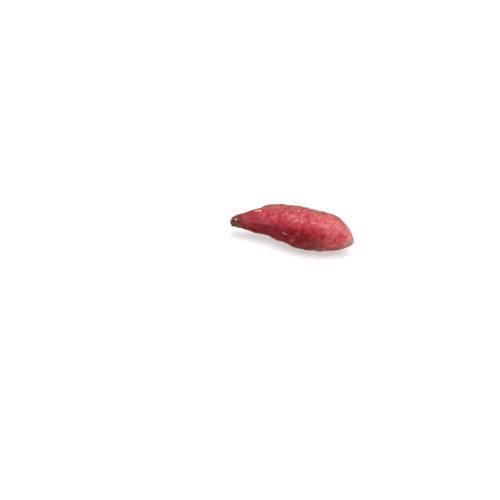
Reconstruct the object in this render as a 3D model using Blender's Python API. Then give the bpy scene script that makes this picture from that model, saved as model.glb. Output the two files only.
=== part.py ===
"""A whole red-skinned sweet potato lying on its side: one tuberous root, grown in one piece.

Metres, +Z up. +X runs from the crown, where the root hung from its vine, to the tail. The root
rests on a small flat spot in the plane z = 0, under its own weight, and the origin is in that
plane, at the middle of the root's length and width.
"""

import bmesh
import bpy
import numpy as np

# Driving dimensions. Each list of three runs in even steps from the crown to the tail.
LENGTH = 0.182
DIAMETERS = (
    0.009, 0.0217, 0.0298, 0.0395, 0.0467, 0.0518, 0.0568,
    0.0599, 0.0589, 0.0560, 0.0508, 0.0414, 0.035,
)
RISES = (
    0, 0.002, 0.005, 0.0065, 0.0075, 0.008, 0.0075,
    0.0065, 0.0065, 0.007, 0.0055, 0.002, 0,
)
DRIFTS = (
    0, 0.001, 0.005, 0.009, 0.0105, 0.010, 0.008,
    0.006, 0.005, 0.005, 0.0055, 0.0045, 0,
)
CROWN_ROUNDING = 0.0025
TAIL_ROUNDING = 0.036
TAIL_SQUARENESS = 2.15
NUB_LENGTH = 0.003
NUB_RADIUS = 0.0036
NUB_FILLET = 0.004
REST_CUT = 0.0006
# The section is taller than wide at the crown and wider than tall at the tail, by this share.
SECTION_CHANGE = 0.10

# Lobes of the broken crown, as a share of its radius, that fade out along the neck.
CROWN_LOBES = 5
CROWN_LOBE_SHARE = 0.08
CROWN_LOBE_TWIST = 90.0
CROWN_LOBE_REACH = 0.014

# Slow lumps over the whole root. They, the furrows and the hollows fade where it is thin.
LUMPS = 9
LUMP_HEIGHT = 0.00042
LUMP_MOST_TURNS = 4
LUMP_WAVES = (1.5, 6.5)
LUMP_SEED = 11
FULL_RELIEF_RADIUS = 0.012

# Each furrow: its start and end from the crown, its angle round at each, and its depth. Angles
# are in degrees, with 0 at the top and 90 on the -Y side.
FURROWS = (
    (0.014, 0.096, 96, 74, 0.0009),
    (0.060, 0.150, 18, 38, 0.0006),
    (0.020, 0.120, -62, -96, 0.0008),
    (0.084, 0.168, -150, -128, 0.0007),
)
FURROW_WIDTH = 0.0042
FURROW_WANDER = 4.0

# Each hollow round the scar of a side root: its distance from the crown and its angle round.
HOLLOWS = (
    (0.028, 64), (0.039, 12), (0.040, -122), (0.058, -48), (0.072, 168), (0.078, 104),
    (0.092, -84), (0.101, 24), (0.104, 96), (0.118, -158), (0.126, -40), (0.137, 52),
    (0.150, -100), (0.158, 118),
)
HOLLOW_DEPTH = 0.0008
HOLLOW_LENGTH = 0.0032
HOLLOW_WIDTH = 0.0055

# The mesh: rings and points round each ring, and how finely the outline is measured.
RINGS = 74
SECTORS = 52
OUTLINE_STEPS = 1600
MERGE_DISTANCE = 1e-6

SKIN_COLOUR = (0.45, 0.085, 0.105, 1.0)
SKIN_ROUGHNESS = 0.5


def blended(values, along):
    """The value at each distance from the crown, on an even cubic B-spline to both end values."""
    values = np.asarray(values, float)
    before_first = 2 * values[0] - values[1]
    after_last = 2 * values[-1] - values[-2]
    controls = np.concatenate(([before_first], values, [after_last]))
    place = np.clip(along / LENGTH, 0, 1) * (len(values) - 1)
    span = np.minimum(place.astype(int), len(values) - 2)
    t = place - span
    weights = ((1 - t) ** 3, 3 * t**3 - 6 * t**2 + 4, -3 * t**3 + 3 * t**2 + 3 * t + 1, t**3)
    return sum(weight * controls[span + k] for k, weight in enumerate(weights)) / 6


def slope(values, along):
    """How fast the blended value changes with the distance from the crown."""
    step = LENGTH / OUTLINE_STEPS
    before = np.clip(along - step, 0, LENGTH)
    after = np.clip(along + step, 0, LENGTH)
    return (blended(values, after) - blended(values, before)) / (after - before)


def rounding(way, power=2.0):
    """1 at the start of the way, falling to 0 at its end along a quarter of a superellipse."""
    return (1 - np.clip(way, 0, 1) ** power) ** (1 / power)


def plain_radius(along):
    """The radius with no relief: the body, rounded at both ends, and the nub at the tail."""
    body_way = (along - (LENGTH - NUB_LENGTH - TAIL_ROUNDING)) / TAIL_ROUNDING
    nub_way = (along - (LENGTH - NUB_LENGTH)) / NUB_LENGTH
    body = blended(DIAMETERS, along) / 2
    body = body * rounding(1 - along / CROWN_ROUNDING) * rounding(body_way, TAIL_SQUARENESS)
    nub = NUB_RADIUS * rounding(nub_way, TAIL_SQUARENESS) * np.clip(body_way, 0, 1)
    share = np.clip(0.5 - (body - nub) / (2 * NUB_FILLET), 0, 1)
    fillet = NUB_FILLET * share * (1 - share) * nub / NUB_RADIUS
    return body + (nub - body) * share + fillet


def spine(along):
    """Points of the bent middle line, with the unit vectors to its -Y side and upwards."""
    points = np.stack([along, blended(DRIFTS, along), blended(RISES, along)], axis=-1)
    forward = np.stack([np.ones_like(along), slope(DRIFTS, along), slope(RISES, along)], axis=-1)
    forward /= np.linalg.norm(forward, axis=-1, keepdims=True)
    side = np.cross(forward, [0.0, 0.0, 1.0])
    side /= np.linalg.norm(side, axis=-1, keepdims=True)
    return points, side, np.cross(side, forward)


def turn_from(middle, angle):
    """The signed turn from one angle to another, in radians, the short way round."""
    return (angle - middle + np.pi) % (2 * np.pi) - np.pi


def lumps(along, angle):
    rng = np.random.default_rng(LUMP_SEED)
    height = np.zeros_like(along)
    for _ in range(LUMPS):
        turns = rng.integers(1, LUMP_MOST_TURNS + 1)
        waves = rng.uniform(*LUMP_WAVES)
        phase_round, phase_along = rng.uniform(0, 2 * np.pi, 2)
        wave = np.cos(2 * np.pi * waves * along / LENGTH + phase_along)
        height += LUMP_HEIGHT * np.cos(turns * angle + phase_round) * wave
    return height


def furrows(along, angle, radius):
    height = np.zeros_like(along)
    for start, end, angle_there, angle_at_end, depth in FURROWS:
        way = np.clip((along - start) / (end - start), 0, 1)
        middle = angle_there + (angle_at_end - angle_there) * way
        middle = np.radians(middle + FURROW_WANDER * np.sin(3 * np.pi * way))
        across = turn_from(middle, angle) * radius / FURROW_WIDTH
        height -= depth * np.sin(np.pi * way) * np.exp(-(across**2))
    return height


def hollows(along, angle, radius):
    height = np.zeros_like(along)
    for distance, degrees in HOLLOWS:
        across = turn_from(np.radians(degrees), angle) * radius / HOLLOW_WIDTH
        lengthwise = (along - distance) / HOLLOW_LENGTH
        height -= HOLLOW_DEPTH * np.exp(-(across**2) - lengthwise**2)
    return height


def surface(along, angle):
    """Points of the skin at each distance from the crown and angle round the middle line."""
    radius = plain_radius(along)
    relief = lumps(along, angle) + furrows(along, angle, radius) + hollows(along, angle, radius)
    lobes = np.cos(CROWN_LOBES * angle + CROWN_LOBE_TWIST * along)
    lobes = lobes * CROWN_LOBE_SHARE * np.exp(-((along / CROWN_LOBE_REACH) ** 2))
    fade = np.clip(radius / FULL_RELIEF_RADIUS, 0, 1) ** 2
    radius = radius * (1 + lobes) + relief * fade
    points, side, up = spine(along)
    change = SECTION_CHANGE * np.cos(np.pi * along / LENGTH)
    across = radius * (1 - change) * np.sin(angle)
    high = radius * (1 + change / 2) * np.cos(angle)
    return points + across[..., None] * side + high[..., None] * up


def ring_places(count):
    """Distances from the crown that space this many rings evenly over the outline."""
    along = LENGTH * (1 - np.cos(np.linspace(0, np.pi, OUTLINE_STEPS))) / 2
    steps = np.hypot(np.diff(along), np.diff(plain_radius(along)))
    walked = np.concatenate(([0.0], np.cumsum(steps)))
    return np.interp(np.linspace(0, walked[-1], count + 2)[1:-1], walked, along)


def skin_points():
    """The rings' points and the two poles, with the lowest point just under the plane z = 0."""
    angles = np.arange(SECTORS) * 2 * np.pi / SECTORS
    along, angle = np.meshgrid(ring_places(RINGS), angles, indexing="ij")
    poles = surface(np.array([0.0, LENGTH]), np.zeros(2))
    points = np.concatenate([surface(along, angle).reshape(-1, 3), poles])
    low = points.min(0)
    high = points.max(0)
    return points - [(low[0] + high[0]) / 2, (low[1] + high[1]) / 2, low[2] + REST_CUT]


def cut_rest_spot(mesh):
    """Cuts away what lies under the plane z = 0 and closes the cut with one flat face."""
    cut = bmesh.ops.bisect_plane(
        mesh,
        geom=mesh.verts[:] + mesh.edges[:] + mesh.faces[:],
        dist=MERGE_DISTANCE,
        plane_co=(0, 0, 0),
        plane_no=(0, 0, -1),
        clear_outer=True,
    )
    rim = [piece for piece in cut["geom_cut"] if isinstance(piece, bmesh.types.BMEdge)]
    bmesh.ops.holes_fill(mesh, edges=rim, sides=0)


def root_mesh(name):
    """The closed skin: quads from ring to ring, and a fan of triangles round each pole."""
    mesh = bmesh.new()
    verts = [mesh.verts.new(point) for point in skin_points()]
    rings = [verts[k * SECTORS : (k + 1) * SECTORS] for k in range(RINGS)]
    crown = verts[-2]
    tail = verts[-1]
    for k in range(SECTORS):
        after = (k + 1) % SECTORS
        mesh.faces.new((crown, rings[0][after], rings[0][k]))
        mesh.faces.new((tail, rings[-1][k], rings[-1][after]))
        for ring, next_ring in zip(rings, rings[1:]):
            mesh.faces.new((ring[k], ring[after], next_ring[after], next_ring[k]))
    cut_rest_spot(mesh)
    bmesh.ops.recalc_face_normals(mesh, faces=mesh.faces)
    data = bpy.data.meshes.new(name)
    mesh.to_mesh(data)
    mesh.free()
    return data


def skin_material():
    material = bpy.data.materials.new("skin")
    material.use_nodes = True
    shader = material.node_tree.nodes["Principled BSDF"]
    shader.inputs["Base Color"].default_value = SKIN_COLOUR
    shader.inputs["Roughness"].default_value = SKIN_ROUGHNESS
    shader.inputs["Metallic"].default_value = 0.0
    return material


def clear_scene():
    for obj in list(bpy.data.objects):
        bpy.data.objects.remove(obj, do_unlink=True)


def main():
    clear_scene()
    root = bpy.data.objects.new("sweet_potato", root_mesh("sweet_potato"))
    bpy.context.scene.collection.objects.link(root)
    root.data.materials.append(skin_material())
    root.data.shade_smooth()


if __name__ == "__main__":
    main()
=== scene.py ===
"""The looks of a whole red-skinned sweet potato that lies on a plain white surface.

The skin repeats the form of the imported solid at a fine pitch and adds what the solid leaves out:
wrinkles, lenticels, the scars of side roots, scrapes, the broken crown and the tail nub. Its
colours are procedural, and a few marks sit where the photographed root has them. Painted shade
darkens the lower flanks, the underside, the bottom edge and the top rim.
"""

import bpy
import numpy as np
from mathutils import Matrix, Vector


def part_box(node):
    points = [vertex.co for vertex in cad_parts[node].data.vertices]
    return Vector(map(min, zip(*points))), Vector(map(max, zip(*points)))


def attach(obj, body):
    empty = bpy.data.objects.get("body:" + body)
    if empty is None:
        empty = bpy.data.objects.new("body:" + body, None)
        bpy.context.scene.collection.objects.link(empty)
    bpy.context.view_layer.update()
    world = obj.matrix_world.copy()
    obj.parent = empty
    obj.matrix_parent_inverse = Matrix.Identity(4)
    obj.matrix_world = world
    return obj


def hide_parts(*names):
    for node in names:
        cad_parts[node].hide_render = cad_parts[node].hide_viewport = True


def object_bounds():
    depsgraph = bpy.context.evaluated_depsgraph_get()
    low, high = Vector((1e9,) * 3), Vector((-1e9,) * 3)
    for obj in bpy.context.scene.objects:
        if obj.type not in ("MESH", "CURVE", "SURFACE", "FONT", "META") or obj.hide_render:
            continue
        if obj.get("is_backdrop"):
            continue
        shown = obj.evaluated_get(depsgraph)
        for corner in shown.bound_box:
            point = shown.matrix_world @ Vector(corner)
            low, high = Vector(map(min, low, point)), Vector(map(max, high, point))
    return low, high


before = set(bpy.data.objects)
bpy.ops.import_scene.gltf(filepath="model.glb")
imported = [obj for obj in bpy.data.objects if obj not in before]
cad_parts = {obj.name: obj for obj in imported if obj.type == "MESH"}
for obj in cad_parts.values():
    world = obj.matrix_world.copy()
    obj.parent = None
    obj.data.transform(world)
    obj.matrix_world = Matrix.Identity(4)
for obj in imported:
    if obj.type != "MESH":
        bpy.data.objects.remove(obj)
cad_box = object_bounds()

# The form, in metres, as the solid has it: distances run from the crown to the tail.
LENGTH = 0.182
DIAMETERS = (
    0.009, 0.0217, 0.0298, 0.0395, 0.0467, 0.0518, 0.0568,
    0.0599, 0.0589, 0.0560, 0.0508, 0.0414, 0.035,
)
RISES = (
    0, 0.002, 0.005, 0.0065, 0.0075, 0.008, 0.0075,
    0.0065, 0.0065, 0.007, 0.0055, 0.002, 0,
)
DRIFTS = (
    0, 0.001, 0.005, 0.009, 0.0105, 0.010, 0.008,
    0.006, 0.005, 0.005, 0.0055, 0.0045, 0,
)
CROWN_ROUNDING = 0.0025
TAIL_ROUNDING = 0.036
TAIL_SQUARENESS = 2.15
NUB_LENGTH = 0.003
NUB_RADIUS = 0.0036
NUB_FILLET = 0.004
REST_CUT = 0.0006
SECTION_CHANGE = 0.10
CROWN_LOBES = 5
CROWN_LOBE_SHARE = 0.08
CROWN_LOBE_TWIST = 90.0
CROWN_LOBE_REACH = 0.014
LUMPS = 9
LUMP_HEIGHT = 0.00042
LUMP_MOST_TURNS = 4
LUMP_WAVES = (1.5, 6.5)
LUMP_SEED = 11
FULL_RELIEF_RADIUS = 0.012
# Furrows: the distance and the angle at both ends, and the depth. Hollows: distance and angle.
FURROWS = (
    (0.014, 0.096, 96, 74, 0.0009),
    (0.060, 0.150, 18, 38, 0.0006),
    (0.020, 0.120, -62, -96, 0.0008),
    (0.084, 0.168, -150, -128, 0.0007),
)
FURROW_WIDTH = 0.0042
FURROW_WANDER = 4.0
HOLLOWS = (
    (0.028, 64), (0.039, 12), (0.040, -122), (0.058, -48), (0.072, 168), (0.078, 104),
    (0.092, -84), (0.101, 24), (0.104, 96), (0.118, -158), (0.126, -40), (0.137, 52),
    (0.150, -100), (0.158, 118),
)
HOLLOW_DEPTH = 0.0008
HOLLOW_LENGTH = 0.0032
HOLLOW_WIDTH = 0.0055
OUTLINE_STEPS = 1600

# The fine mesh stays under 200,000 triangles.
RINGS = 404
SECTORS = 244

# Fine relief: each layer's bump length, bump width, height and seed.
WRINKLES = (0.0013, 0.0120, 0.00007, 33)
VEINS = (0.0300, 0.0018, 0.00005, 34)
BUMPS = (0.0040, 0.0050, 0.00013, 35)
SWELLS = (0.0110, 0.0090, 0.00022, 36)
CROWN_FIBRES = (0.0090, 0.0012, 0.00030, 41)
CROWN_PITS = (0.0028, 0.0015, 0.00040, 42)
NUB_FIBRES = (0.0040, 0.0010, 0.00016, 51)

# Noises that break up the relief and the marks: bump length, bump width and seed.
RAGGED = (0.0030, 0.0030, 21)
FRAYED = (0.0011, 0.0011, 22)
BAND_WAVER = (0.0300, 0.0200, 23)
BAND_PATCHES = (0.0160, 0.0100, 24)
WRINKLED = (0.0200, 0.0160, 31)
VEINED = (0.0300, 0.0120, 32)
NOISE_WAVES = 90

# The crown's rough tissue and its darker collar thin out between these distances from the crown.
CROWN_EDGE = (0.009, 0.021)
COLLAR_EDGE = (0.015, 0.028)

# The nub, by the skin's radius: where its cork and grey rim thin out, how far it is shifted to
# which angle, its foot and puckers, from outer to inner radii, and the dark crease round it.
NUB_EDGE = (0.0032, 0.0080)
NUB_RIM_EDGE = (0.0070, 0.0135)
NUB_RIM_STRENGTH = 0.36
NUB_TURN = 115
NUB_SHIFT = 0.0014
NUB_FOOT_HEIGHT = 0.0009
NUB_FOOT = ((0.0100, 0.0045), (0.0026, 0.0042))
PUCKER_HEIGHT = 0.00020
PUCKER_RING = ((0.0180, 0.0080), (0.0040, 0.0060))
PUCKERS = (0.30, 0.30, 52)
PUCKER_CHANGE = 40
NUB_CREASE = (0.0046, 0.0008)

# The tables of swellings, scars, fields, pits, scrapes and lines give lengths in millimetres,
# distances from the crown, and angles in degrees, with 0 at the top and 90 on the camera's side.
MM = 0.001

# Low swellings and hollows: distance, angle, half length, half width and height.
SWELLINGS = (
    (65, -25, 4, 9, -0.6), (74.5, -27, 5.5, 10, 1.1), (88, -25, 5, 9, -0.8),
    (107.5, -30, 5, 9, 0.7), (138.5, -33, 5, 9, -0.7), (130.8, 151, 5.5, 10, -1.3),
    (145.5, 142, 4, 9, 0.8), (170.5, 155, 8, 12, 1.7),
)

# Marks strewn over the skin: how many there are, their seed, the stretch of the root that they
# lie on, as shares of its length, their sizes and their height.
LENTICELS = 320
LENTICEL_SEED = 5
LENTICEL_STRETCH = (0.10, 0.96)
LENTICEL_WIDTHS = (0.0006, 0.0019)
LENTICEL_LENGTHS = (0.00040, 0.00065)
LENTICEL_HEIGHT = 0.00015
STREWN_PITS = 150
PIT_SEED = 14
PIT_STRETCH = (0.08, 0.97)
PIT_SPREAD = 0.6
PIT_LENGTHS = (0.0006, 0.0012)
PIT_WIDTHS = (0.0007, 0.0014)
PIT_DEPTH = 0.00022
BODY_RADIUS = 0.026

# The scars of side roots, each at its distance and angle.
SCARS = (
    (28, 64), (40, -122), (58, -48), (72, 168), (78, 104), (92, -84), (112.8, 77), (118, -158),
    (126, -40), (136, 160), (150, -100), (158, 118), (50, 150), (164, -30),
)
SCAR_SEED = 8
SCAR_WIDTHS = (0.0022, 0.0044)
SCAR_SLIMNESS = (0.28, 0.42)
SCAR_CURVE = 0.10
SCAR_RIM_WIDTH = 0.00055
SCAR_STUB_RADIUS = 0.0008
SCAR_RIM_HEIGHT = 0.00025
SCAR_DEPTH = 0.00042
SCAR_STUB_HEIGHT = 0.00060
SCRAPE_DEPTH = 0.00018
# Furrows of this depth are full of earth.
FULL_FURROW = 0.0009

# Soft fields of colour: distance, angle, half length, half width and strength.
FIELDS = {
    # The deep fields on the lower flanks and underneath are painted shade; the rest are a darker
    # tone of the skin.
    "deep_tone_and_shade": (
        (36, 116, 16, 8, 0.8), (66, 108, 26, 11, 0.85), (103, 76, 9, 6.5, 0.85),
        (117, 84, 10, 8, 0.9), (134, 96, 18, 12, 0.55), (158, 80, 10, 8, 0.35),
        (84, 85, 12, 6, 0.8), (33.5, 81, 6.5, 1.8, 0.55), (22, -60, 16, 14, 0.45),
        (58, -110, 22, 12, 0.55), (116, -138, 24, 12, 0.5), (90, 150, 20, 10, 0.45),
        (150, 172, 18, 12, 0.4), (135, 66, 12, 6, 0.45), (116.5, 65, 8, 5, 0.42),
    ),
    "tan": (
        (55, -8, 15, 7.5, 0.8), (64, 12, 12, 6, 0.5), (170.5, 104, 6, 7, 0.62),
        (36, -14, 12, 5, 0.45), (87, 7, 10, 6, 0.72), (103, 6, 10, 4, 0.35),
        (120, -26, 16, 6, 0.35), (136.2, 32, 4, 3, 0.25), (149, -6, 10, 5, 0.5),
        (90, 178, 18, 7, 0.6), (62, -150, 12, 6, 0.55), (132, -98, 14, 6, 0.5),
    ),
    "brown": (
        # The brown fields low on the camera's flank and underneath are painted shade; the others
        # are brown tone of the skin.
        (130, 112, 18, 10, 0.9), (144, 98, 12, 7, 0.55), (14, 110, 10, 8, 0.6),
        (108, 150, 16, 8, 0.5), (50, -160, 16, 8, 0.5), (154, 140, 10, 8, 0.4),
        (37, 20, 11, 5.5, 0.6), (29, 24, 9, 6.5, 0.45), (62, 24, 15, 6.5, 0.42),
        (127, 0, 8, 6, 0.56), (138, -2, 7, 5, 0.4), (169, 62, 6, 5.5, 0.45),
    ),
    "crimson": (
        (92, 64, 12, 7.5, 0.6), (112, 64, 12, 7, 0.75), (131, 57, 12, 7, 0.8),
        (140, 69, 10, 7, 0.7), (166, 62, 8, 8, 0.55), (60, -70, 20, 9, 0.7),
        (110, -150, 20, 8, 0.6), (145, -80, 12, 8, 0.6), (30, 170, 14, 8, 0.6),
        (64, 20, 13, 6, 0.5), (40, 20, 12, 8, 0.55), (173, 48, 4.5, 4.5, 0.65),
        (84, 56, 10, 7, 0.6), (166, 40, 4, 5, 0.25), (163.5, 74, 5, 4.5, 0.6),
    ),
    "magenta": (
        (59, 36, 9.5, 6, 1), (54, 48, 7, 5, 0.7), (66, 54, 8, 4, 0.5), (108, 42, 12, 7, 0.45),
        (166, 44, 6, 6, 0.6), (88, -66, 14, 8, 0.6), (124, -112, 14, 8, 0.55),
        (40, -92, 12, 7, 0.45),
    ),
    "blush": (
        (100, 42, 9, 6, 0.8), (112, 30, 8, 6, 0.5), (130, 36, 7, 5, 0.45), (168, -8, 10, 7, 0.65),
        (52.6, 46, 3, 3, 0.6), (64, 56, 3, 2.8, 0.45), (23.4, 46, 2.2, 9, 0.45),
        (144, 34, 12, 9, 0.45), (160, 26, 12, 10, 0.55), (174, 0, 6, 8, 0.55),
        (146, -50, 16, 12, 0.45), (164, -120, 12, 12, 0.45), (74, -84, 10, 6, 0.35),
        (108, -160, 12, 7, 0.35),
    ),
    "nub": ((169, -22, 10, 10, 0.37),),
    "pitted": (
        (78, 76, 16, 11, 1), (95, 60, 8, 6, 0.7), (44, 94, 14, 8, 0.6), (154, 40, 12, 9, 0.45),
        (66, -118, 16, 8, 0.8), (112, 168, 14, 8, 0.7), (142, -70, 12, 8, 0.55),
    ),
}

# The deep tone of the neck, partly painted shade, and the blush of the tail: the strength and
# where each one fades.
NECK_DEEP_AND_SHADE = (0.50, (0.024, 0.066))
TAIL_BLUSH = (0.62, (0.163, 0.178))

# Broad bands along the root: the mask, the angle of the middle, half the width in degrees, the
# strength, and the distances in metres over which the band fades in and out.
BANDS = (
    # The deep bands darken the lower flanks and the underside, and the brown band the bottom edge
    # near the tail: painted shade.
    # The tan band at -18 darkens the top rim, partly as painted shade; the crimson band darkens
    # the camera's flank.
    ("deep_tone_and_shade", 117, 35, 1.0, (0.004, 0.03), (0.112, 0.168)),
    ("deep_tone_and_shade", 168, 42, 0.8, (0.01, 0.04), (0.13, 0.172)),
    ("deep_tone_and_shade", -118, 27, 0.5, (0.004, 0.04), (0.12, 0.16)),
    ("tan", -18, 11, 0.85, (0.02, 0.04), (0.15, 0.172)),
    ("tan", 10, 18, 0.52, (0.046, 0.056), (0.078, 0.098)),
    ("tan", 0, 14, 0.5, (0.08, 0.1), (0.14, 0.16)),
    ("brown", 130, 20, 0.55, (0.13, 0.15), (0.174, 0.181)),
    ("crimson", 71, 19, 0.55, (0.07, 0.095), (0.135, 0.16)),
    ("blush", 39, 12, 0.3, (0.09, 0.1), (0.128, 0.142)),
)

# Small dark pits, each at its distance and angle.
PITS = (
    (74, 86), (58.8, 89), (67, 77), (75.6, 73), (91.1, 71), (79.2, 66), (78.7, 30), (75.9, 58),
    (87.2, 50), (95, 57), (135.7, 18), (149.1, 28), (161.3, 6), (157.2, 36), (154.3, 47),
    (153.8, 79), (16.3, 45), (7, 70), (14, 69), (102.2, 15), (83, 79), (70, 66), (64, 84),
    (86.2, 62), (112.4, 73), (89.3, 91), (87.5, 87), (108.2, 16), (103.8, 17), (102.5, 24),
    (85.4, 18), (82.3, 23), (139.6, 21), (140.1, 1), (44.7, 3), (18.9, 74), (14.8, 80), (7.7, 75),
)

# Cream scrapes through the skin: distance, angle, half length and half width.
SCRAPES = (
    (44.2, 18, 1.6, 1.9), (46, 25, 0.8, 1.1), (40.3, 13, 1, 1.1), (2.6, 29, 1.4, 1.2),
    (10.1, 37, 1.6, 1.4), (101, 11, 0.8, 1.9), (66, -132, 2.4, 0.5), (128, -72, 0.5, 1.5),
)

# Lines on the skin: the mask that they add to, its strength, their rise, half their width, and
# the distance and angle of the start, the middle and the end.
LINES = (
    ("pale", 0.5, 0.08, 1, (106.1, 4), (110.6, 24), (111.8, 38)),
    ("pale", 0.9, 0.08, 1, (109.8, 15), (110.3, 18), (110.8, 22)),
    ("pale", 1, 0.1, 1.6, (110.2, 43), (112.8, 44), (115, 47)),
    ("pale", 1, 0.08, 1.4, (136.8, 26), (137.7, 27), (138.6, 28)),
    ("cream", 0.55, 0, 1.1, (137.4, 26), (137.9, 27), (138.4, 28)),
    ("pale", 1, 0.15, 0.9, (86, 79), (86.7, 82), (87.6, 86)),
    ("pale", 1, 0.22, 1.3, (87.2, 85), (91.5, 90), (96.2, 86)),
    ("cream", 0.8, 0, 1, (88, 87), (91.5, 90), (95.5, 87)),
    ("cream", 1, -0.16, 2.1, (35.6, 2), (40.7, 12), (46.4, 25)),
    ("cream", 0.85, -0.1, 1.4, (39, -19), (42.8, -11), (47, 4)),
    ("cream", 0.62, 0, 0.9, (178.7, 28), (179.3, 33), (179.7, 40)),
    ("pale", 1, 0.2, 2, (15, -15), (24.5, -14), (35, -13)),
    ("pale", 0.5, 0.06, 2.4, (24, 24), (23.2, 46), (24, 70)),
    ("pale", 0.8, 0.08, 0.9, (110.2, 53), (111.1, 54), (112, 54)),
    ("pale", 0.6, 0.1, 0.7, (81, 28), (86.2, 22), (91.6, 20)),
    ("pale", 0.5, 0.08, 0.6, (86.5, 31), (88.9, 28), (91.1, 27)),
    ("pale", 0.55, 0.12, 0.7, (108, 79), (114, 86), (119.5, 78)),
    ("pale", 0.45, 0.1, 1, (140.5, 30), (142, 50), (141.8, 68)),
    ("pale", 0.45, 0.1, 1, (146.2, 34), (147, 52), (145.5, 70)),
    ("pale", 0.6, 0.14, 0.7, (156.5, 31), (163.5, 26), (170, 20)),
    ("pale", 0.8, 0, 3, (160, -22), (169.5, -12), (176.5, 2)),
    ("pale", 0.7, 0.1, 0.8, (25.4, 89), (33, 95), (40.9, 103)),
    ("pale", 0.5, 0.1, 0.8, (70, -60), (72, -78), (71.2, -98)),
    ("pale", 0.5, 0.1, 1, (138, -120), (140, -140), (138.8, -158)),
    ("dark", 0.9, -0.3, 1, (28.5, 75), (33.4, 81), (38.6, 87)),
    ("dark", 0.9, -0.35, 1.1, (24, 99), (32, 108), (39.5, 114)),
    ("dark", 0.7, -0.2, 0.8, (108.6, 50), (111, 48), (113.6, 52)),
    ("dark", 0.6, -0.2, 0.8, (46.2, 64), (46.8, 76), (45.2, 90)),
    ("dark", 0.7, -0.2, 0.7, (86.8, 35), (89.2, 34), (91.5, 32)),
    ("dark", 0.5, -0.2, 0.9, (138, 62), (139.2, 78), (138.5, 92)),
    ("dark", 0.5, -0.2, 0.9, (148, 66), (149, 80), (147.8, 92)),
    ("dark", 0.6, -0.25, 0.8, (33, -70), (42, -78), (50, -82)),
    ("dark", 0.6, -0.25, 0.8, (56, 140), (66, 146), (74, 143)),
)

LINE_STEPS = 32

# Fibres of broken side roots at the two ends: how many there are, the distances that they stand
# between and how far they lean towards the tail.
END_HAIRS = ((11, 0.0010, 0.0110, -1.2), (7, 0.1795, 0.1815, 1.0))
# Those on the scars: how many there are, and how far they stray along, round and in their lean.
SCAR_HAIRS = 14
SCAR_HAIR_STRAY = (0.0006, 2, 1.5)
HAIR_SEED = 3
HAIR_LENGTHS = (0.0020, 0.0060)
HAIR_RADII = (0.00012, 0.00030)
HAIR_SIDEWAYS = 0.8
HAIR_BEND = 0.45
HAIR_DROOP = 0.35
HAIR_FOOT = 0.0005
HAIR_WAVE = 0.0002
HAIR_CLEARANCE = 0.0001
HAIR_RINGS = 9
HAIR_SIDES = 7

# Colours, as linear values.
ROSE = (0.495, 0.071, 0.100)
CRIMSON = (0.385, 0.022, 0.042)
# Dark crimson of the deep tone, of the painted shade on the lower flanks and underneath, and of
# the pores.
DEEP_TONE_AND_SHADE = (0.180, 0.0045, 0.0090)
MAGENTA = (0.480, 0.045, 0.075)
SALMON = (0.515, 0.120, 0.110)
BLUSH = (0.620, 0.205, 0.212)
# Tan of the skin, also painted as shade along the top rim.
TAN_AND_SHADE = (0.350, 0.138, 0.108)
# Brown of the skin, also painted as shade low on the flanks and along the bottom edge.
BROWN_AND_SHADE = (0.215, 0.042, 0.033)
STAIN = (0.060, 0.010, 0.009)
CREAM = (0.820, 0.490, 0.360)
COLLAR = (0.265, 0.080, 0.064)
CROWN_DARK = (0.060, 0.022, 0.017)
CROWN_GREY = (0.220, 0.105, 0.078)
NUB_DARK = (0.300, 0.178, 0.160)
NUB_GREY = (0.475, 0.320, 0.292)
FIBRE_BROWN = (0.150, 0.070, 0.040)
FIBRE_STRAW = (0.420, 0.270, 0.160)
FIBRE_SPOT = 0.0012
FIBRE_ROUGHNESS = (0.65, 0.90)

# Noises of the skin's colour: spot length, spot width, detail and roughness. The bent ones
# waver, in spots of BENT_WAVER's first size and by its second.
PLAIN_NOISES = {
    "broad": (0.0340, 0.0200, 2.0, 0.55),
    "patchy": (0.0085, 0.0060, 4.0, 0.55),
    "mottle": (0.0030, 0.0026, 4.0, 0.65),
    "fine": (0.0010, 0.0009, 3.0, 0.60),
}
BENT_NOISES = {
    "streak": (0.0160, 0.0016, 4.0, 0.60),
    "rings": (0.0015, 0.0100, 4.0, 0.60),
}
BENT_WAVER = (0.0090, 0.0035)

# Towards the tail the salmon tone grows and the grain calms: start, end and the values there.
SALMON_GROWTH = (0.105, 0.160, 0.10, 0.80)
GRAIN_CALM = (0.115, 0.155, 1.0, 0.70)

# A mask starts to show at the first of these values and is full at the second.
SOFT_EDGE = (0.16, 0.90)

# Colours laid over the ground tone in turn: the mask, the noise that breaks it up, how much it
# does so, the strength and the colour.
TONES = (
    ("magenta", "patchy", 0.5, 0.85, MAGENTA),
    ("blush", "mottle", 0.8, 0.55, BLUSH),
    ("crimson", "patchy", 0.6, 0.80, CRIMSON),
    ("collar", "mottle", 0.5, 0.80, COLLAR),
    ("deep_tone_and_shade", "patchy", 0.6, 0.94, DEEP_TONE_AND_SHADE),
    ("brown", "patchy", 0.6, 0.85, BROWN_AND_SHADE),
    ("tan", "mottle", 0.7, 0.90, TAN_AND_SHADE),
)

# Tints that darken and lighten the colour with each noise, between two of its values.
TINTS = (
    ("patchy", 0.34, 0.64, (0.78, 0.62, 0.64), (1.12, 1.22, 1.20)),
    ("streak", 0.32, 0.68, (0.82, 0.68, 0.70), (1.10, 1.22, 1.20)),
    ("rings", 0.32, 0.68, (0.88, 0.78, 0.79), (1.07, 1.17, 1.15)),
    ("mottle", 0.30, 0.70, (0.82, 0.69, 0.71), (1.12, 1.24, 1.21)),
    ("fine", 0.30, 0.66, (0.87, 0.79, 0.80), (1.06, 1.13, 1.12)),
)

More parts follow.
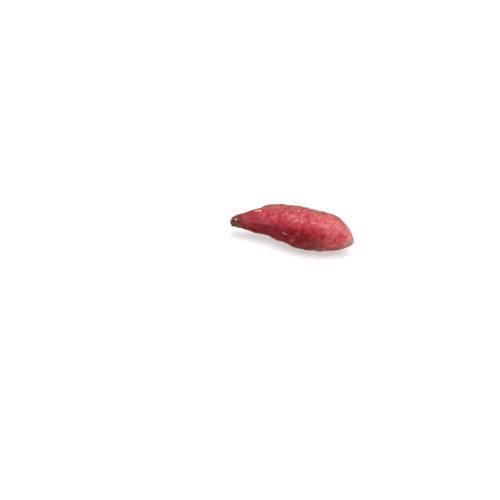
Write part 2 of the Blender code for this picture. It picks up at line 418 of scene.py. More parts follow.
# The net of cells where the skin is pitted: cell length and width, how its walls waver, and the
# tints of walls and cells. Then the pores: pitch, radius and strength.
CELL_SIZE = (0.0030, 0.0042)
CELL_WAVER = (0.0014, 0.0012)
WALL_TINT = (1.16, 1.34, 1.28)
CELL_TINT = (0.66, 0.42, 0.44)
PORE_PITCH = 0.0024
PORE_RADIUS = 0.00030
PORE_STRENGTH = 0.45

# How far the earth in the marks covers the skin and the rough tissue of both ends, and how far
# that tissue covers the skin.
SKIN_EARTH = 0.75
TISSUE_EARTH = 0.8
CROWN_COVER = 0.88
NUB_COVER = 0.72

# The skin's gloss and the fine bumps that the mesh is too coarse for.
SATIN = (0.40, 0.56)
DULLING = 0.32
SKIN_SPECULAR = 0.06
BUMP_STRENGTH = 0.7
BUMP_DEPTH = 0.0004
BUMP_SHARES = (("mottle", 0.6), ("fine", 0.4), ("rings", 0.6), ("streak", 0.6), ("pores", -0.4))

# The photograph is 500 pixels square. One pixel is this long at the root, and the middle of the
# root lies at this pixel.
PHOTO_SIDE = 500
METRES_PER_PIXEL = 0.001415
ROOT_PIXEL = (292.0, 226.2)
CAMERA_AZIMUTH = 20
CAMERA_ELEVATION = 30
LENS_MM = 70
SENSOR_MM = 36
CLIP_START = 0.01

# The key light's direction, with azimuths as the camera's, and its width as seen, in degrees.
KEY_ELEVATION = 72
KEY_AZIMUTH = 55
KEY_SPREAD = 60
KEY_STRENGTH = 3.52
# The sky's strength overhead and at its rim, and the heights between which it changes.
SKY_STRENGTH = 0.42
RIM_STRENGTH = 1.02
RIM_HEIGHTS = (0.12, 0.45)
# The white surface: half its side, its grey, its own glow, and how rough and glossy it is.
FLOOR_REACH = 12.0
FLOOR_GREY = 0.42
FLOOR_GLOW = 0.50
FLOOR_ROUGHNESS = 0.9
FLOOR_SPECULAR = 0.1


def blended(values, along):
    """The value at each distance from the crown, on an even cubic B-spline to both end values."""
    values = np.asarray(values, float)
    before_first = 2 * values[0] - values[1]
    after_last = 2 * values[-1] - values[-2]
    controls = np.concatenate(([before_first], values, [after_last]))
    place = np.clip(along / LENGTH, 0, 1) * (len(values) - 1)
    span = np.minimum(place.astype(int), len(values) - 2)
    t = place - span
    weights = ((1 - t) ** 3, 3 * t**3 - 6 * t**2 + 4, -3 * t**3 + 3 * t**2 + 3 * t + 1, t**3)
    return sum(weight * controls[span + k] for k, weight in enumerate(weights)) / 6


def slope(values, along):
    """How fast the blended value changes with the distance from the crown."""
    step = LENGTH / OUTLINE_STEPS
    before = np.clip(along - step, 0, LENGTH)
    after = np.clip(along + step, 0, LENGTH)
    return (blended(values, after) - blended(values, before)) / (after - before)


def rounding(way, power=2.0):
    """1 at the start of the way, falling to 0 at its end along a quarter of a superellipse."""
    return (1 - np.clip(way, 0, 1) ** power) ** (1 / power)


def smooth(low, high, value):
    """0 below low, 1 above high, and a smooth step between."""
    t = np.clip((value - low) / (high - low), 0, 1)
    return t * t * (3 - 2 * t)


def plain_radius(along):
    """The radius with no relief: the body, rounded at both ends, and the nub at the tail."""
    body_way = (along - (LENGTH - NUB_LENGTH - TAIL_ROUNDING)) / TAIL_ROUNDING
    nub_way = (along - (LENGTH - NUB_LENGTH)) / NUB_LENGTH
    body = blended(DIAMETERS, along) / 2
    body = body * rounding(1 - along / CROWN_ROUNDING) * rounding(body_way, TAIL_SQUARENESS)
    nub = NUB_RADIUS * rounding(nub_way, TAIL_SQUARENESS) * np.clip(body_way, 0, 1)
    share = np.clip(0.5 - (body - nub) / (2 * NUB_FILLET), 0, 1)
    fillet = NUB_FILLET * share * (1 - share) * nub / NUB_RADIUS
    return body + (nub - body) * share + fillet


def spine(along):
    """Points of the bent middle line, with the unit vectors to its -Y side and upwards."""
    points = np.stack([along, blended(DRIFTS, along), blended(RISES, along)], axis=-1)
    forward = np.stack([np.ones_like(along), slope(DRIFTS, along), slope(RISES, along)], axis=-1)
    forward /= np.linalg.norm(forward, axis=-1, keepdims=True)
    side = np.cross(forward, [0.0, 0.0, 1.0])
    side /= np.linalg.norm(side, axis=-1, keepdims=True)
    return points, side, np.cross(side, forward)


def turn_from(middle, angle):
    """The signed turn from one angle to another, in radians, the short way round."""
    return (angle - middle + np.pi) % (2 * np.pi) - np.pi


def bell(value, width):
    """1 at 0, falling away smoothly on both sides over about this width."""
    return np.exp(-((value / width) ** 2))


def spot(lengthwise, across, length, width):
    """1 in the middle of a mark, falling away smoothly over this length and width."""
    return np.exp(-((lengthwise / length) ** 2) - (across / width) ** 2)


def lumps(along, angle):
    rng = np.random.default_rng(LUMP_SEED)
    height = np.zeros_like(along)
    for _ in range(LUMPS):
        turns = rng.integers(1, LUMP_MOST_TURNS + 1)
        waves = rng.uniform(*LUMP_WAVES)
        phase_round, phase_along = rng.uniform(0, 2 * np.pi, 2)
        wave = np.cos(2 * np.pi * waves * along / LENGTH + phase_along)
        height += LUMP_HEIGHT * np.cos(turns * angle + phase_round) * wave
    return height


def furrows(along, angle, radius):
    height = np.zeros_like(along)
    for start, end, angle_there, angle_at_end, depth in FURROWS:
        way = np.clip((along - start) / (end - start), 0, 1)
        middle = angle_there + (angle_at_end - angle_there) * way
        middle = np.radians(middle + FURROW_WANDER * np.sin(3 * np.pi * way))
        across = turn_from(middle, angle) * radius / FURROW_WIDTH
        height -= depth * np.sin(np.pi * way) * np.exp(-(across**2))
    return height


def hollows(along, angle, radius):
    height = np.zeros_like(along)
    for distance, degrees in HOLLOWS:
        across = turn_from(np.radians(degrees), angle) * radius / HOLLOW_WIDTH
        lengthwise = (along - distance) / HOLLOW_LENGTH
        height -= HOLLOW_DEPTH * np.exp(-(across**2) - lengthwise**2)
    return height


def surface(along, angle):
    """Points of the solid's skin at each distance from the crown and angle round."""
    radius = plain_radius(along)
    relief = lumps(along, angle) + furrows(along, angle, radius) + hollows(along, angle, radius)
    lobes = np.cos(CROWN_LOBES * angle + CROWN_LOBE_TWIST * along)
    lobes = lobes * CROWN_LOBE_SHARE * np.exp(-((along / CROWN_LOBE_REACH) ** 2))
    fade = np.clip(radius / FULL_RELIEF_RADIUS, 0, 1) ** 2
    radius = radius * (1 + lobes) + relief * fade
    points, side, up = spine(along)
    change = SECTION_CHANGE * np.cos(np.pi * along / LENGTH)
    across = radius * (1 - change) * np.sin(angle)
    high = radius * (1 + change / 2) * np.cos(angle)
    return points + across[..., None] * side + high[..., None] * up


def ring_places(count):
    """Distances from the crown that space this many rings evenly over the outline."""
    along = LENGTH * (1 - np.cos(np.linspace(0, np.pi, OUTLINE_STEPS))) / 2
    steps = np.hypot(np.diff(along), np.diff(plain_radius(along)))
    walked = np.concatenate(([0.0], np.cumsum(steps)))
    return np.interp(np.linspace(0, walked[-1], count + 2)[1:-1], walked, along)


def grain(grown, length, width, seed):
    """Smooth seeded noise of unit strength, with bumps of this length and width."""
    rng = np.random.default_rng(seed)
    waves = rng.normal(size=(NOISE_WAVES, 3)) * (np.pi / np.array([length, width, width]))
    phases = rng.uniform(0, 2 * np.pi, NOISE_WAVES)
    return np.cos(grown @ waves.T + phases).sum(-1) * np.sqrt(2 / NOISE_WAVES)


class Skin:
    """The fine grid over the root, with its relief and its masks, which the marks build up."""

    def __init__(self):
        angles = np.arange(SECTORS) * 2 * np.pi / SECTORS
        self.along, self.angle = np.meshgrid(ring_places(RINGS), angles, indexing="ij")
        self.radius = plain_radius(self.along)
        around = [self.radius * np.cos(self.angle), self.radius * np.sin(self.angle)]
        self.grown = np.stack([self.along, *around], axis=-1)
        self.relief = np.zeros_like(self.along)
        self.masks = {}
        self.ragged = grain(self.grown, *RAGGED)
        self.frayed = grain(self.grown, *FRAYED)

    def beside(self, distance, degrees):
        """How far each point lies lengthwise and round from a place on the skin."""
        return self.along - distance, turn_from(np.radians(degrees), self.angle) * self.radius

    def mark(self, name, strength):
        """Lays a mask over what the mask of that name holds."""
        self.masks[name] = np.maximum(self.masks.get(name, 0.0), np.clip(strength, 0, 1))


def add_fields(skin):
    """Soft fields of colour that merge where they meet."""
    for name, places in FIELDS.items():
        clear = np.ones_like(skin.along)
        for distance, degrees, length, width, strength in places:
            lengthwise, across = skin.beside(distance * MM, degrees)
            far = (lengthwise / (length * MM)) ** 2 + (across / (width * MM)) ** 2
            clear *= 1 - strength * np.exp(-np.clip(far + 0.25 * skin.ragged, 0, None))
        skin.mark(name, 1 - clear)
    strength, ends = NECK_DEEP_AND_SHADE
    skin.mark("deep_tone_and_shade", strength * (1 - smooth(*ends, skin.along + 0.004 * skin.ragged)))
    strength, ends = TAIL_BLUSH
    skin.mark("blush", strength * smooth(*ends, skin.along + 0.003 * skin.ragged))


def add_bands(skin):
    """Broad bands of tone along the root, which waver from side to side, some of them painted
    shade.
    """
    waver = 4.5 * grain(skin.grown, *BAND_WAVER) + 1.8 * skin.ragged
    patches = 0.35 + 0.80 * smooth(-1.5, 0.8, grain(skin.grown, *BAND_PATCHES))
    for name, degrees, width, strength, fade_in, fade_out in BANDS:
        across = np.degrees(turn_from(np.radians(degrees), skin.angle)) + waver
        band = strength * bell(across, width) * patches
        band *= smooth(*fade_in, skin.along) * (1 - smooth(*fade_out, skin.along))
        skin.masks[name] = 1 - (1 - skin.masks[name]) * (1 - np.clip(band, 0, 1))


def add_fine_relief(skin):
    """Swells and bumps, wrinkles round the root and veins along it, in uneven strength."""
    body = smooth(*CROWN_EDGE, skin.along) * smooth(0.003, 0.010, skin.radius)
    wrinkled = smooth(-0.6, 1.6, grain(skin.grown, *WRINKLED))
    veined = smooth(-0.8, 1.4, grain(skin.grown, *VEINED))
    relief = layer(skin, WRINKLES) * wrinkled + layer(skin, VEINS) * veined
    relief += layer(skin, BUMPS) + layer(skin, SWELLS)
    skin.relief += body * relief


def layer(skin, relief):
    length, width, height, seed = relief
    return height * grain(skin.grown, length, width, seed)


def add_swellings(skin):
    """Low swellings and hollows where the photographed outline has them."""
    for distance, degrees, length, width, height in SWELLINGS:
        lengthwise, across = skin.beside(distance * MM, degrees)
        skin.relief += height * MM * spot(lengthwise, across, length * MM, width * MM)


def add_furrow_earth(skin):
    """A little earth that stays in the furrows and the hollows."""
    depth = -furrows(skin.along, skin.angle, skin.radius) / FULL_FURROW
    sunk = -hollows(skin.along, skin.angle, skin.radius) / HOLLOW_DEPTH
    skin.mark("dark", 0.40 * smooth(0.5, 1.2, depth + 0.25 * skin.ragged))
    skin.mark("dark", 0.45 * smooth(0.4, 1.1, sunk + 0.20 * skin.ragged))


def add_lenticels(skin):
    """Short raised slits across the skin, pale at the lips and dark in the middle."""
    rng = np.random.default_rng(LENTICEL_SEED)
    for _ in range(LENTICELS):
        distance = LENGTH * rng.uniform(*LENTICEL_STRETCH)
        degrees = rng.uniform(-180, 180)
        width = rng.uniform(*LENTICEL_WIDTHS)
        length = rng.uniform(*LENTICEL_LENGTHS)
        strength = rng.uniform(0.2, 1.0) ** 1.5
        lengthwise, across = skin.beside(distance, degrees)
        lengthwise = lengthwise + 0.15 * across * rng.uniform(-1, 1)
        lips = spot(lengthwise, across, length, width)
        slit = spot(lengthwise, across, 0.5 * length, 0.8 * width)
        skin.relief += strength * LENTICEL_HEIGHT * (lips - 0.9 * slit)
        skin.mark("pale", 0.8 * strength * lips * (1 - slit))
        skin.mark("dark", 0.9 * strength * slit)


def add_pits(skin):
    """Small dark pits with paler rims, most of them where the skin is pitted."""
    rng = np.random.default_rng(PIT_SEED)
    rims = smooth(-0.2, 1.4, skin.frayed) * (1 - 0.8 * skin.masks["deep_tone_and_shade"])
    pits = [(distance * MM, degrees, 1.0) for distance, degrees in PITS]
    fields = FIELDS["pitted"]
    for k in range(STREWN_PITS):
        if k % 3:
            distance, degrees, length, width, _ = fields[k % len(fields)]
            distance = (distance + rng.normal(0, PIT_SPREAD) * length) * MM
            degrees += rng.normal(0, PIT_SPREAD) * np.degrees(width * MM / BODY_RADIUS)
        else:
            distance, degrees = LENGTH * rng.uniform(*PIT_STRETCH), rng.uniform(-180, 180)
        pits.append((distance, degrees, rng.uniform(0.3, 0.8)))
    for distance, degrees, strength in pits:
        length = rng.uniform(*PIT_LENGTHS)
        width = rng.uniform(*PIT_WIDTHS)
        lengthwise, across = skin.beside(distance, degrees)
        far = np.hypot(lengthwise / length, across / width)
        skin.relief -= strength * PIT_DEPTH * bell(far, 1.0)
        skin.mark("dark", 0.9 * strength * bell(far, 1.0))
        skin.mark("pale", 0.4 * strength * rims * bell(far - 1.9, 0.5))


def add_scars(skin):
    """The scars of side roots: a lens across the skin with a raised rim and a broken stub."""
    rng = np.random.default_rng(SCAR_SEED)
    for distance, degrees in SCARS:
        width = rng.uniform(*SCAR_WIDTHS)
        length = width * rng.uniform(*SCAR_SLIMNESS)
        lengthwise, across = skin.beside(distance * MM, degrees)
        lengthwise = lengthwise + SCAR_CURVE * across**2 / width * rng.choice((-1, 1))
        lens = np.abs(lengthwise) - length * (1 - (across / width) ** 2)
        near = 1 - smooth(1.0, 1.4, np.abs(across) / width)
        rim = near * bell(lens, SCAR_RIM_WIDTH)
        inside = near * smooth(0.0003, -0.0005, lens)
        stub = bell(np.hypot(lengthwise, 0.7 * across), SCAR_STUB_RADIUS)
        skin.relief += SCAR_RIM_HEIGHT * rim - SCAR_DEPTH * inside + SCAR_STUB_HEIGHT * stub
        skin.mark("pale", 0.65 * rim * smooth(-1.0, 0.8, skin.frayed))
        skin.mark("dark", 0.80 * inside * (1 - stub))
        skin.mark("cream", 0.45 * smooth(0.60, 0.95, stub))


def add_scrapes(skin):
    """Scrapes where the skin is gone, a little lower than the skin, with brown edges."""
    for distance, degrees, length, width in SCRAPES:
        lengthwise, across = skin.beside(distance * MM, degrees)
        far = np.hypot(lengthwise / (length * MM), across / (width * MM))
        far += 0.13 * skin.frayed + 0.12 * skin.ragged
        bare = 1 - smooth(0.70, 1.20, far)
        skin.relief -= SCRAPE_DEPTH * bare
        skin.mark("cream", bare)
        skin.mark("dark", 0.5 * bell(far - 1.4, 0.25) * smooth(-0.5, 1.0, skin.ragged))


def add_lines(skin):
    """Low ridges and grooves on curves through three places."""
    for name, strength, rise, width, first, middle, last in LINES:
        t = np.linspace(0, 1, LINE_STEPS)[:, None]
        curve = (1 - t) * (1 - 2 * t) * first + 4 * t * (1 - t) * middle + t * (2 * t - 1) * last
        nearest = np.ones_like(skin.along)
        for (distance, degrees), way in zip(curve, t[:, 0]):
            lengthwise, across = skin.beside(distance * MM, degrees)
            narrowed = 1 + 2.0 * (2 * way - 1) ** 4
            nearest = np.minimum(nearest, np.hypot(lengthwise, across) * narrowed)
        nearest = nearest + width * MM * (0.20 * skin.frayed + 0.22 * skin.ragged)
        ridge = bell(nearest, width * MM)
        skin.relief += rise * MM * ridge
        skin.mark(name, strength * ridge * smooth(-2.0, 0.6, skin.frayed))


def add_crown(skin):
    """Rough, pitted, fibrous tissue round the broken neck."""
    edge = skin.along + 0.0020 * skin.ragged + 0.0008 * skin.frayed
    rough = 1 - smooth(*CROWN_EDGE, edge)
    length, width, depth, seed = CROWN_PITS
    pits = grain(skin.grown, length, width, seed)
    thin = smooth(0.0, 0.004, skin.radius)
    skin.relief += rough * thin * layer(skin, CROWN_FIBRES)
    skin.relief -= rough * thin * depth * np.clip(pits - 0.8, 0, 1.5)
    skin.mark("crown", rough)
    skin.mark("collar", 1 - smooth(*COLLAR_EDGE, edge))
    skin.mark("dark", rough * smooth(0.8, 1.6, pits))
    skin.mark("cream", 0.8 * rough * smooth(1.7, 2.3, -pits) * smooth(0.012, 0.004, skin.along))


def add_nub(skin):
    """The grey, fibrous nub at the tail, where the thin root broke off."""
    tail = skin.along > LENGTH / 2
    edge = skin.radius + 0.0006 * skin.ragged + 0.0003 * skin.frayed
    edge = edge - NUB_SHIFT * np.cos(skin.angle - np.radians(NUB_TURN))
    nub = (1 - smooth(*NUB_EDGE, edge + 0.0008 * skin.ragged)) * tail
    skin.mark("nub", NUB_RIM_STRENGTH * (1 - smooth(*NUB_RIM_EDGE, edge)) * tail)

    length, width, height, seed = NUB_FIBRES
    spokes = grain(skin.grown, length, width, seed)
    skin.relief += nub * height * spokes * smooth(0.0, 0.002, skin.radius)
    outer, inner = NUB_FOOT
    foot = smooth(*outer, skin.radius) * smooth(*inner, skin.radius)
    skin.relief += NUB_FOOT_HEIGHT * foot * tail
    turned = [np.cos(skin.angle), np.sin(skin.angle), PUCKER_CHANGE * skin.radius]
    puckers = grain(np.stack(turned, axis=-1), *PUCKERS)
    outer, inner = PUCKER_RING
    near = smooth(*outer, skin.radius) * smooth(*inner, skin.radius)
    skin.relief += PUCKER_HEIGHT * puckers * near * tail

    middle, width = NUB_CREASE
    skin.mark("nub", nub)
    skin.mark("dark", 0.7 * nub * smooth(0.4, 1.5, spokes))
    skin.mark("dark", 0.5 * bell(edge - middle, width) * tail)


def grid_normals(points):
    """Unit normals of a grid of rings, pointing out of the root."""
    along_step = np.gradient(points, axis=0)
    round_step = np.roll(points, -1, axis=1) - np.roll(points, 1, axis=1)
    normals = np.cross(round_step, along_step)
    outward = (normals * (points - points.mean(axis=1, keepdims=True))).sum()
    normals *= np.sign(outward)
    return normals / np.linalg.norm(normals, axis=-1, keepdims=True)


def placed(points):
    """The shift that lays the root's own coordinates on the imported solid."""
    low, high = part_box("sweet_potato")
    own_low = points.reshape(-1, 3).min(0)
    own_high = points.reshape(-1, 3).max(0)
    shift = (np.array(low) + np.array(high) - own_low - own_high) / 2
    shift[2] = -REST_CUT - own_low[2]
    return shift


def grid_faces():
    """Quads between rings and a fan of triangles round each of the two poles."""
    start = np.arange(SECTORS)
    after = (start + 1) % SECTORS
    faces = []
    for ring in range(RINGS - 1):
        near = ring * SECTORS
        far = near + SECTORS
        faces.extend(zip(near + start, near + after, far + after, far + start))
    crown = RINGS * SECTORS
    last = (RINGS - 1) * SECTORS
    faces.extend(zip([crown] * SECTORS, after, start))
    faces.extend(zip([crown + 1] * SECTORS, last + start, last + after))
    return [[int(corner) for corner in face] for face in faces]


def with_poles(values, crown, tail):
    """The grid's values in one row, with those of the two poles after them."""
    flat = values.reshape(-1, *values.shape[2:])
    return np.concatenate([flat, [crown], [tail]])


def skin_object():
    skin = Skin()
    for add_marks in (
        add_fields, add_bands, add_fine_relief, add_swellings, add_furrow_earth, add_lenticels,
        add_pits, add_scars, add_scrapes, add_lines, add_crown, add_nub,
    ):
        add_marks(skin)

    base = surface(skin.along, skin.angle)
    shift = placed(base)
    points = base + shift + grid_normals(base) * skin.relief[..., None]
    poles = surface(np.array([0.0, LENGTH]), np.zeros(2)) + shift
    points = with_poles(points, poles[0], poles[1])
    points[:, 2] = np.maximum(points[:, 2], 0.0)

    skin_piece = new_piece("sweet_potato_skin", points, grid_faces())
    mesh = skin_piece.data
    add_attribute(mesh, "grown", with_poles(skin.grown, (0, 0, 0), (LENGTH, 0, 0)))
    for name, mask in skin.masks.items():
        add_attribute(mesh, name, with_poles(mask, mask[0].mean(), mask[-1].mean()))
    return skin_piece, shift


def linked(name, data):
    """A new object of the scene that has these data."""
    thing = bpy.data.objects.new(name, data)
    bpy.context.scene.collection.objects.link(thing)
    return thing


def new_piece(name, points, faces):
    mesh = bpy.data.meshes.new(name)
    mesh.from_pydata(points.tolist(), [], faces)
    mesh.shade_smooth()
    return linked(name, mesh)


def skin_frame(distance, degrees):
    """A point of the skin, its outward normal, and the directions to the tail and round."""
    step = 0.0003
    turn_step = 0.02
    turn = np.radians(degrees)
    along = np.clip(np.array([distance - step, distance + step, distance, distance]), 0, LENGTH)
    angle = np.array([turn, turn, turn - turn_step, turn + turn_step])
    before, after, one_side, other_side = surface(along, angle)
    tailwards = (after - before) / np.linalg.norm(after - before)
    round_root = (other_side - one_side) / np.linalg.norm(other_side - one_side)
    normal = np.cross(round_root, tailwards)
    point = (before + after) / 2
    middle = spine(np.array([distance]))[0][0]
    normal *= np.sign(normal @ (point - middle)) / np.linalg.norm(normal)
    return point, normal, tailwards, round_root


def hair_rings(rng, distance, degrees, lean):
    """Rings of points up a bent, tapering fibre that leans towards the tail by this share."""
    point, normal, tailwards, round_root = skin_frame(distance, degrees)
    sideways = rng.uniform(-HAIR_SIDEWAYS, HAIR_SIDEWAYS)
    heading = normal + lean * tailwards + sideways * round_root
    heading /= np.linalg.norm(heading)
    bend = rng.normal(size=3) * HAIR_BEND - HAIR_DROOP * normal
    length = rng.uniform(*HAIR_LENGTHS)
    radius = rng.uniform(*HAIR_RADII)
    side = np.cross(heading, bend)
    side /= np.linalg.norm(side)
    other = np.cross(heading, side)
    turns = np.arange(HAIR_SIDES)[:, None] * 2 * np.pi / HAIR_SIDES
    rings = []
    for way in np.linspace(0, 1, HAIR_RINGS):
        middle = point - HAIR_FOOT * normal + length * (heading * way + bend * way**2 * 0.6)
        middle = middle + HAIR_WAVE * np.sin(7 * way + length * 4000) * side
        thick = radius * (1 - 0.7 * way) * (1 - 0.9 * (way == 1))
        rings.append(middle + thick * (np.cos(turns) * side + np.sin(turns) * other))
    return rings


def hairs_object(shift):
    """All the fibres, as one piece: each a closed tube whose foot is under the skin."""
    rng = np.random.default_rng(HAIR_SEED)
    places = []
    for count, first, last, lean in END_HAIRS:
        for _ in range(count):
            places.append((rng.uniform(first, last), rng.uniform(-180, 180), lean))
    for k in range(SCAR_HAIRS):
        along, turn, lean = [rng.normal(0, stray) for stray in SCAR_HAIR_STRAY]
        distance, degrees = SCARS[k % len(SCARS)]
        places.append((distance * MM + along, degrees + turn, lean))

    points = []
    faces = []
    for place in places:
        start = len(points) * HAIR_SIDES
        points.extend(hair_rings(rng, *place))
        last = start + (HAIR_RINGS - 1) * HAIR_SIDES
        for near in range(start, last, HAIR_SIDES):
            far = near + HAIR_SIDES
            for k in range(HAIR_SIDES):
                after = (k + 1) % HAIR_SIDES
                faces.append((near + k, near + after, far + after, far + k))
        faces.append(tuple(range(start + HAIR_SIDES - 1, start - 1, -1)))
        faces.append(tuple(range(last, last + HAIR_SIDES)))
    points = np.concatenate(points) + shift
    points[:, 2] = np.maximum(points[:, 2], HAIR_CLEARANCE)
    return new_piece("root_fibres", points, faces)


def add_attribute(mesh, name, values):
    kind, key = ("FLOAT_VECTOR", "vector") if values.ndim == 2 else ("FLOAT", "value")
    stored = mesh.attributes.new(name, kind, "POINT")
    stored.data.foreach_set(key, values.astype(np.float32).ravel())


# Materials.


def made(tree, kind, inputs=(), **settings):
    """A new node with these settings, its inputs set to values or linked to sockets."""
    new_node = tree.nodes.new(kind)
    for name, value in settings.items():
        setattr(new_node, name, value)
    for name, value in dict(inputs).items():
        if isinstance(value, bpy.types.NodeSocket):
            tree.links.new(value, new_node.inputs[name])
        else:
            new_node.inputs[name].default_value = value
    return new_node


def mixed(tree, factor, first, second, blend="MIX"):
    """The colour socket of a mix of two colours, each given as a socket or as a linear colour."""
    mix = made(tree, "ShaderNodeMix", data_type="RGBA", blend_type=blend)
    for index, value in ((0, factor), (6, first), (7, second)):
        if isinstance(value, bpy.types.NodeSocket):
            tree.links.new(value, mix.inputs[index])
        elif index == 0:
            mix.inputs[index].default_value = value
        else:
            mix.inputs[index].default_value = (*value, 1.0)
    return mix.outputs[2]


def stepped(tree, value, low, high, to_low=0.0, to_high=1.0):
    """The socket of a smooth step of a value, from one end of a range to the other."""
    inputs = {"Value": value, "From Min": low, "From Max": high}
    inputs |= {"To Min": to_low, "To Max": to_high}
    return made(tree, "ShaderNodeMapRange", inputs, interpolation_type="SMOOTHSTEP").outputs[0]


def maths(tree, operation, *values):
    return made(tree, "ShaderNodeMath", dict(enumerate(values)), operation=operation).outputs[0]


def attribute(tree, name, output="Fac"):
    return made(tree, "ShaderNodeAttribute", attribute_name=name).outputs[output]


def stretched(tree, place, length, width):
    """The place, in units of this length along the root and this width across it."""
    scale = (1 / length, 1 / width, 1 / width)
    return made(tree, "ShaderNodeMapping", {"Vector": place, "Scale": scale}).outputs[0]


def noise(tree, place, length, width, detail=3.0, roughness=0.55, output=0):
    """Noise with spots of this length and width, from 0 to 1 about 0.5."""
    inputs = {"Vector": stretched(tree, place, length, width), "Scale": 1.0}
    inputs |= {"Detail": detail, "Roughness": roughness}
    return made(tree, "ShaderNodeTexNoise", inputs).outputs[output]


def dots(tree, place, pitch, size):
    """1 in round dots of this radius, about one pitch apart, and 0 between them."""
    inputs = {"Vector": stretched(tree, place, pitch, pitch), "Scale": 1.0}
    cells = made(tree, "ShaderNodeTexVoronoi", inputs)
    return stepped(tree, cells.outputs["Distance"], size / pitch, 0.5 * size / pitch)


def wandering(tree, place, size, reach):
    """The place, moved about this far by noise with spots of this size."""
    wobble = noise(tree, place, size, size, 2.0, output=1)
    inputs = {0: wobble, 1: (0.5, 0.5, 0.5)}
    centred = made(tree, "ShaderNodeVectorMath", inputs, operation="SUBTRACT").outputs[0]
    inputs = {0: centred, 1: (2 * reach,) * 3, 2: place}
    return made(tree, "ShaderNodeVectorMath", inputs, operation="MULTIPLY_ADD").outputs[0]


def net(tree, place, length, width):
    """How far each point is from the walls of cells about this long and wide, as a share."""
    inputs = {"Vector": stretched(tree, place, length, width), "Scale": 1.0}
    cells = made(tree, "ShaderNodeTexVoronoi", inputs, feature="DISTANCE_TO_EDGE")
    return cells.outputs["Distance"]


def principled(name):
    material = bpy.data.materials.new(name)
    material.use_nodes = True
    return material, material.node_tree, material.node_tree.nodes["Principled BSDF"]


def softly(tree, name, ragged, spread, strength=1.0):
    """A mask of the skin, broken up by a noise, times a strength."""
    offset = maths(tree, "MULTIPLY_ADD", ragged, spread, -0.5 * spread)
    shifted = maths(tree, "ADD", attribute(tree, name), offset)
    return stepped(tree, shifted, *SOFT_EDGE, 0.0, strength)


def skin_colour(tree, place, noises):
    """The skin's colour, from the ground tone to the marks, with its earth and its pores."""
    along = made(tree, "ShaderNodeSeparateXYZ", {"Vector": place}).outputs[0]
    colour = mixed(tree, stepped(tree, noises["broad"], 0.40, 0.66, 0.0, 0.60), ROSE, CRIMSON)
    patches = stepped(tree, noises["patchy"], 0.34, 0.60, 0.25, 1.0)
    salmon = maths(tree, "MULTIPLY", stepped(tree, along, *SALMON_GROWTH), patches)
    colour = mixed(tree, salmon, colour, SALMON)
    for name, ragged, spread, strength, tone in TONES:
        colour = mixed(tree, softly(tree, name, noises[ragged], spread, strength), colour, tone)

    calm = stepped(tree, along, *GRAIN_CALM)
    for name, low, high, dark_tint, light_tint in TINTS:
        tint = mixed(tree, stepped(tree, noises[name], low, high), dark_tint, light_tint)
        colour = mixed(tree, calm, colour, tint, "MULTIPLY")
    pitted = softly(tree, "pitted", noises["patchy"], 0.4)
    walls = net(tree, wandering(tree, place, *CELL_WAVER), *CELL_SIZE)
    tint = mixed(tree, stepped(tree, walls, 0.03, 0.30), WALL_TINT, CELL_TINT)
    colour = mixed(tree, pitted, colour, mixed(tree, 1.0, colour, tint, "MULTIPLY"))
    pores = dots(tree, place, PORE_PITCH, PORE_RADIUS)
    colour = mixed(tree, maths(tree, "MULTIPLY", pores, PORE_STRENGTH), colour, DEEP_TONE_AND_SHADE)

    colour = mixed(tree, softly(tree, "pale", noises["fine"], 0.5, 0.70), colour, BLUSH)
    earth = softly(tree, "dark", noises["fine"], 0.5)
    colour = mixed(tree, maths(tree, "MULTIPLY", earth, SKIN_EARTH), colour, STAIN)
    return colour, earth, pores


def tissue(tree, mottle, low, high, earth, dark_colour, grey_colour):
    """The colour of the rough tissue at the ends, with earth in its pits."""
    colour = mixed(tree, stepped(tree, mottle, low, high), dark_colour, grey_colour)
    return mixed(tree, maths(tree, "MULTIPLY", earth, TISSUE_EARTH), colour, STAIN)


def skin_material():
    material, tree, shader = principled("potato_skin")
    place = attribute(tree, "grown", "Vector")
    bent = wandering(tree, place, *BENT_WAVER)
    noises = {name: noise(tree, place, *sizes) for name, sizes in PLAIN_NOISES.items()}
    noises |= {name: noise(tree, bent, *sizes) for name, sizes in BENT_NOISES.items()}
    mottle = noises["mottle"]
    fine = noises["fine"]
    colour, earth, pores = skin_colour(tree, place, noises)

    crown = softly(tree, "crown", mottle, 0.8)
    bark = tissue(tree, mottle, 0.38, 0.62, earth, CROWN_DARK, CROWN_GREY)
    colour = mixed(tree, maths(tree, "MULTIPLY", crown, CROWN_COVER), colour, bark)
    cork = tissue(tree, mottle, 0.36, 0.64, earth, NUB_DARK, NUB_GREY)
    colour = mixed(tree, softly(tree, "nub", mottle, 0.70, NUB_COVER), colour, cork)
    cream = softly(tree, "cream", fine, 0.5)
    flesh = mixed(tree, stepped(tree, fine, 0.28, 0.50), BLUSH, CREAM)
    colour = mixed(tree, cream, colour, flesh)
    tree.links.new(colour, shader.inputs["Base Color"])

    dull = earth
    for cover in (crown, cream, softly(tree, "tan", mottle, 0.7, 0.5)):
        dull = maths(tree, "MAXIMUM", dull, cover)
    satin = stepped(tree, mottle, 0.28, 0.72, *SATIN)
    roughness = maths(tree, "MULTIPLY_ADD", dull, DULLING, satin)
    tree.links.new(roughness, shader.inputs["Roughness"])

    height = 0.0
    noises["pores"] = pores
    for name, share in BUMP_SHARES:
        height = maths(tree, "MULTIPLY_ADD", noises[name], share, height)
    inputs = {"Strength": BUMP_STRENGTH, "Distance": BUMP_DEPTH, "Height": height}
    tree.links.new(made(tree, "ShaderNodeBump", inputs).outputs[0], shader.inputs["Normal"])
    shader.inputs["Specular IOR Level"].default_value = SKIN_SPECULAR
    return material


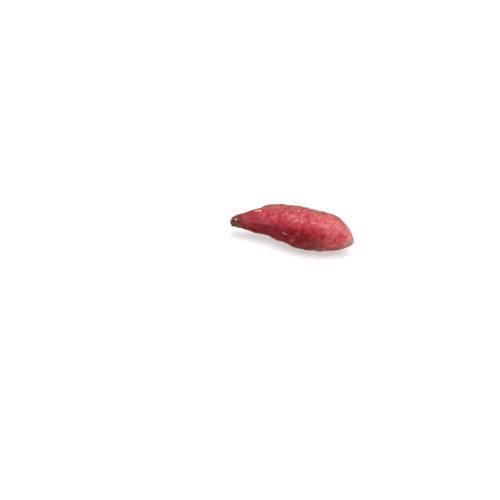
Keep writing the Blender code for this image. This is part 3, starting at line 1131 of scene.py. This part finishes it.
def fibre_material():
    material, tree, shader = principled("root_fibre")
    place = made(tree, "ShaderNodeTexCoord").outputs["Object"]
    strands = noise(tree, place, FIBRE_SPOT, FIBRE_SPOT)
    colour = mixed(tree, stepped(tree, strands, 0.35, 0.65), FIBRE_BROWN, FIBRE_STRAW)
    tree.links.new(colour, shader.inputs["Base Color"])
    roughness = stepped(tree, strands, 0.3, 0.7, *FIBRE_ROUGHNESS)
    tree.links.new(roughness, shader.inputs["Roughness"])
    return material


def floor_material():
    material, tree, shader = principled("white_surface")
    for name, value in (
        ("Base Color", (FLOOR_GREY, FLOOR_GREY, FLOOR_GREY, 1.0)),
        ("Roughness", FLOOR_ROUGHNESS),
        ("Specular IOR Level", FLOOR_SPECULAR),
        ("Emission Color", (1.0, 1.0, 1.0, 1.0)),
        ("Emission Strength", FLOOR_GLOW),
    ):
        shader.inputs[name].default_value = value
    return material


# The surface, the light and the camera.


def add_floor():
    reach = FLOOR_REACH
    corners = [(-reach, -reach, 0), (reach, -reach, 0), (reach, reach, 0), (-reach, reach, 0)]
    mesh = bpy.data.meshes.new("studio_floor")
    mesh.from_pydata(corners, [], [(0, 1, 2, 3)])
    mesh.materials.append(floor_material())
    floor = linked("studio_floor", mesh)
    floor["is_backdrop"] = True


def add_light():
    """A soft key from above and a little to the right, and a dim sky that is bright at its rim."""
    light = bpy.data.lights.new("key", "SUN")
    light.energy = KEY_STRENGTH
    light.angle = np.radians(KEY_SPREAD)
    key = linked("key", light)
    key.rotation_euler = (np.radians(90 - KEY_ELEVATION), 0, np.radians(KEY_AZIMUTH))

    world = bpy.data.worlds.new("studio")
    bpy.context.scene.world = world
    world.use_nodes = True
    tree = world.node_tree
    place = made(tree, "ShaderNodeTexCoord").outputs["Generated"]
    height = made(tree, "ShaderNodeSeparateXYZ", {"Vector": place}).outputs["Z"]
    background = tree.nodes["Background"]
    background.inputs["Color"].default_value = (1.0, 1.0, 1.0, 1.0)
    strength = stepped(tree, height, *RIM_HEIGHTS, RIM_STRENGTH, SKY_STRENGTH)
    tree.links.new(strength, background.inputs["Strength"])


def add_camera():
    azimuth = np.radians(CAMERA_AZIMUTH)
    elevation = np.radians(CAMERA_ELEVATION)
    back = Vector((
        np.sin(azimuth) * np.cos(elevation),
        -np.cos(azimuth) * np.cos(elevation),
        np.sin(elevation),
    ))
    right = Vector((np.cos(azimuth), np.sin(azimuth), 0))
    up = back.cross(right)
    distance = PHOTO_SIDE * METRES_PER_PIXEL * LENS_MM / SENSOR_MM
    low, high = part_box("sweet_potato")
    middle = Vector(((low[0] + high[0]) / 2, (low[1] + high[1]) / 2, (low[2] + high[2]) / 2))
    sideways = (ROOT_PIXEL[0] - PHOTO_SIDE / 2) * METRES_PER_PIXEL
    upward = (PHOTO_SIDE / 2 - ROOT_PIXEL[1]) * METRES_PER_PIXEL
    data = bpy.data.cameras.new("camera")
    data.lens = LENS_MM
    data.sensor_width = SENSOR_MM
    data.clip_start = CLIP_START
    camera = linked("camera", data)
    turn = Matrix((right, up, back)).transposed().to_4x4()
    camera.matrix_world = Matrix.Translation(
        middle + back * distance - right * sideways - up * upward
    ) @ turn
    bpy.context.scene.camera = camera
    bpy.context.scene.view_settings.view_transform = "Standard"


skin_piece, shift = skin_object()
skin_piece.data.materials.append(skin_material())
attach(skin_piece, "root")
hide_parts("sweet_potato")
hairs = hairs_object(shift)
hairs.data.materials.append(fibre_material())
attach(hairs, "root")
add_floor()
add_light()
add_camera()

sizes = {"cad": cad_box, "visual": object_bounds()}
sizes = {name: [[float(v) for v in corner] for corner in box] for name, box in sizes.items()}
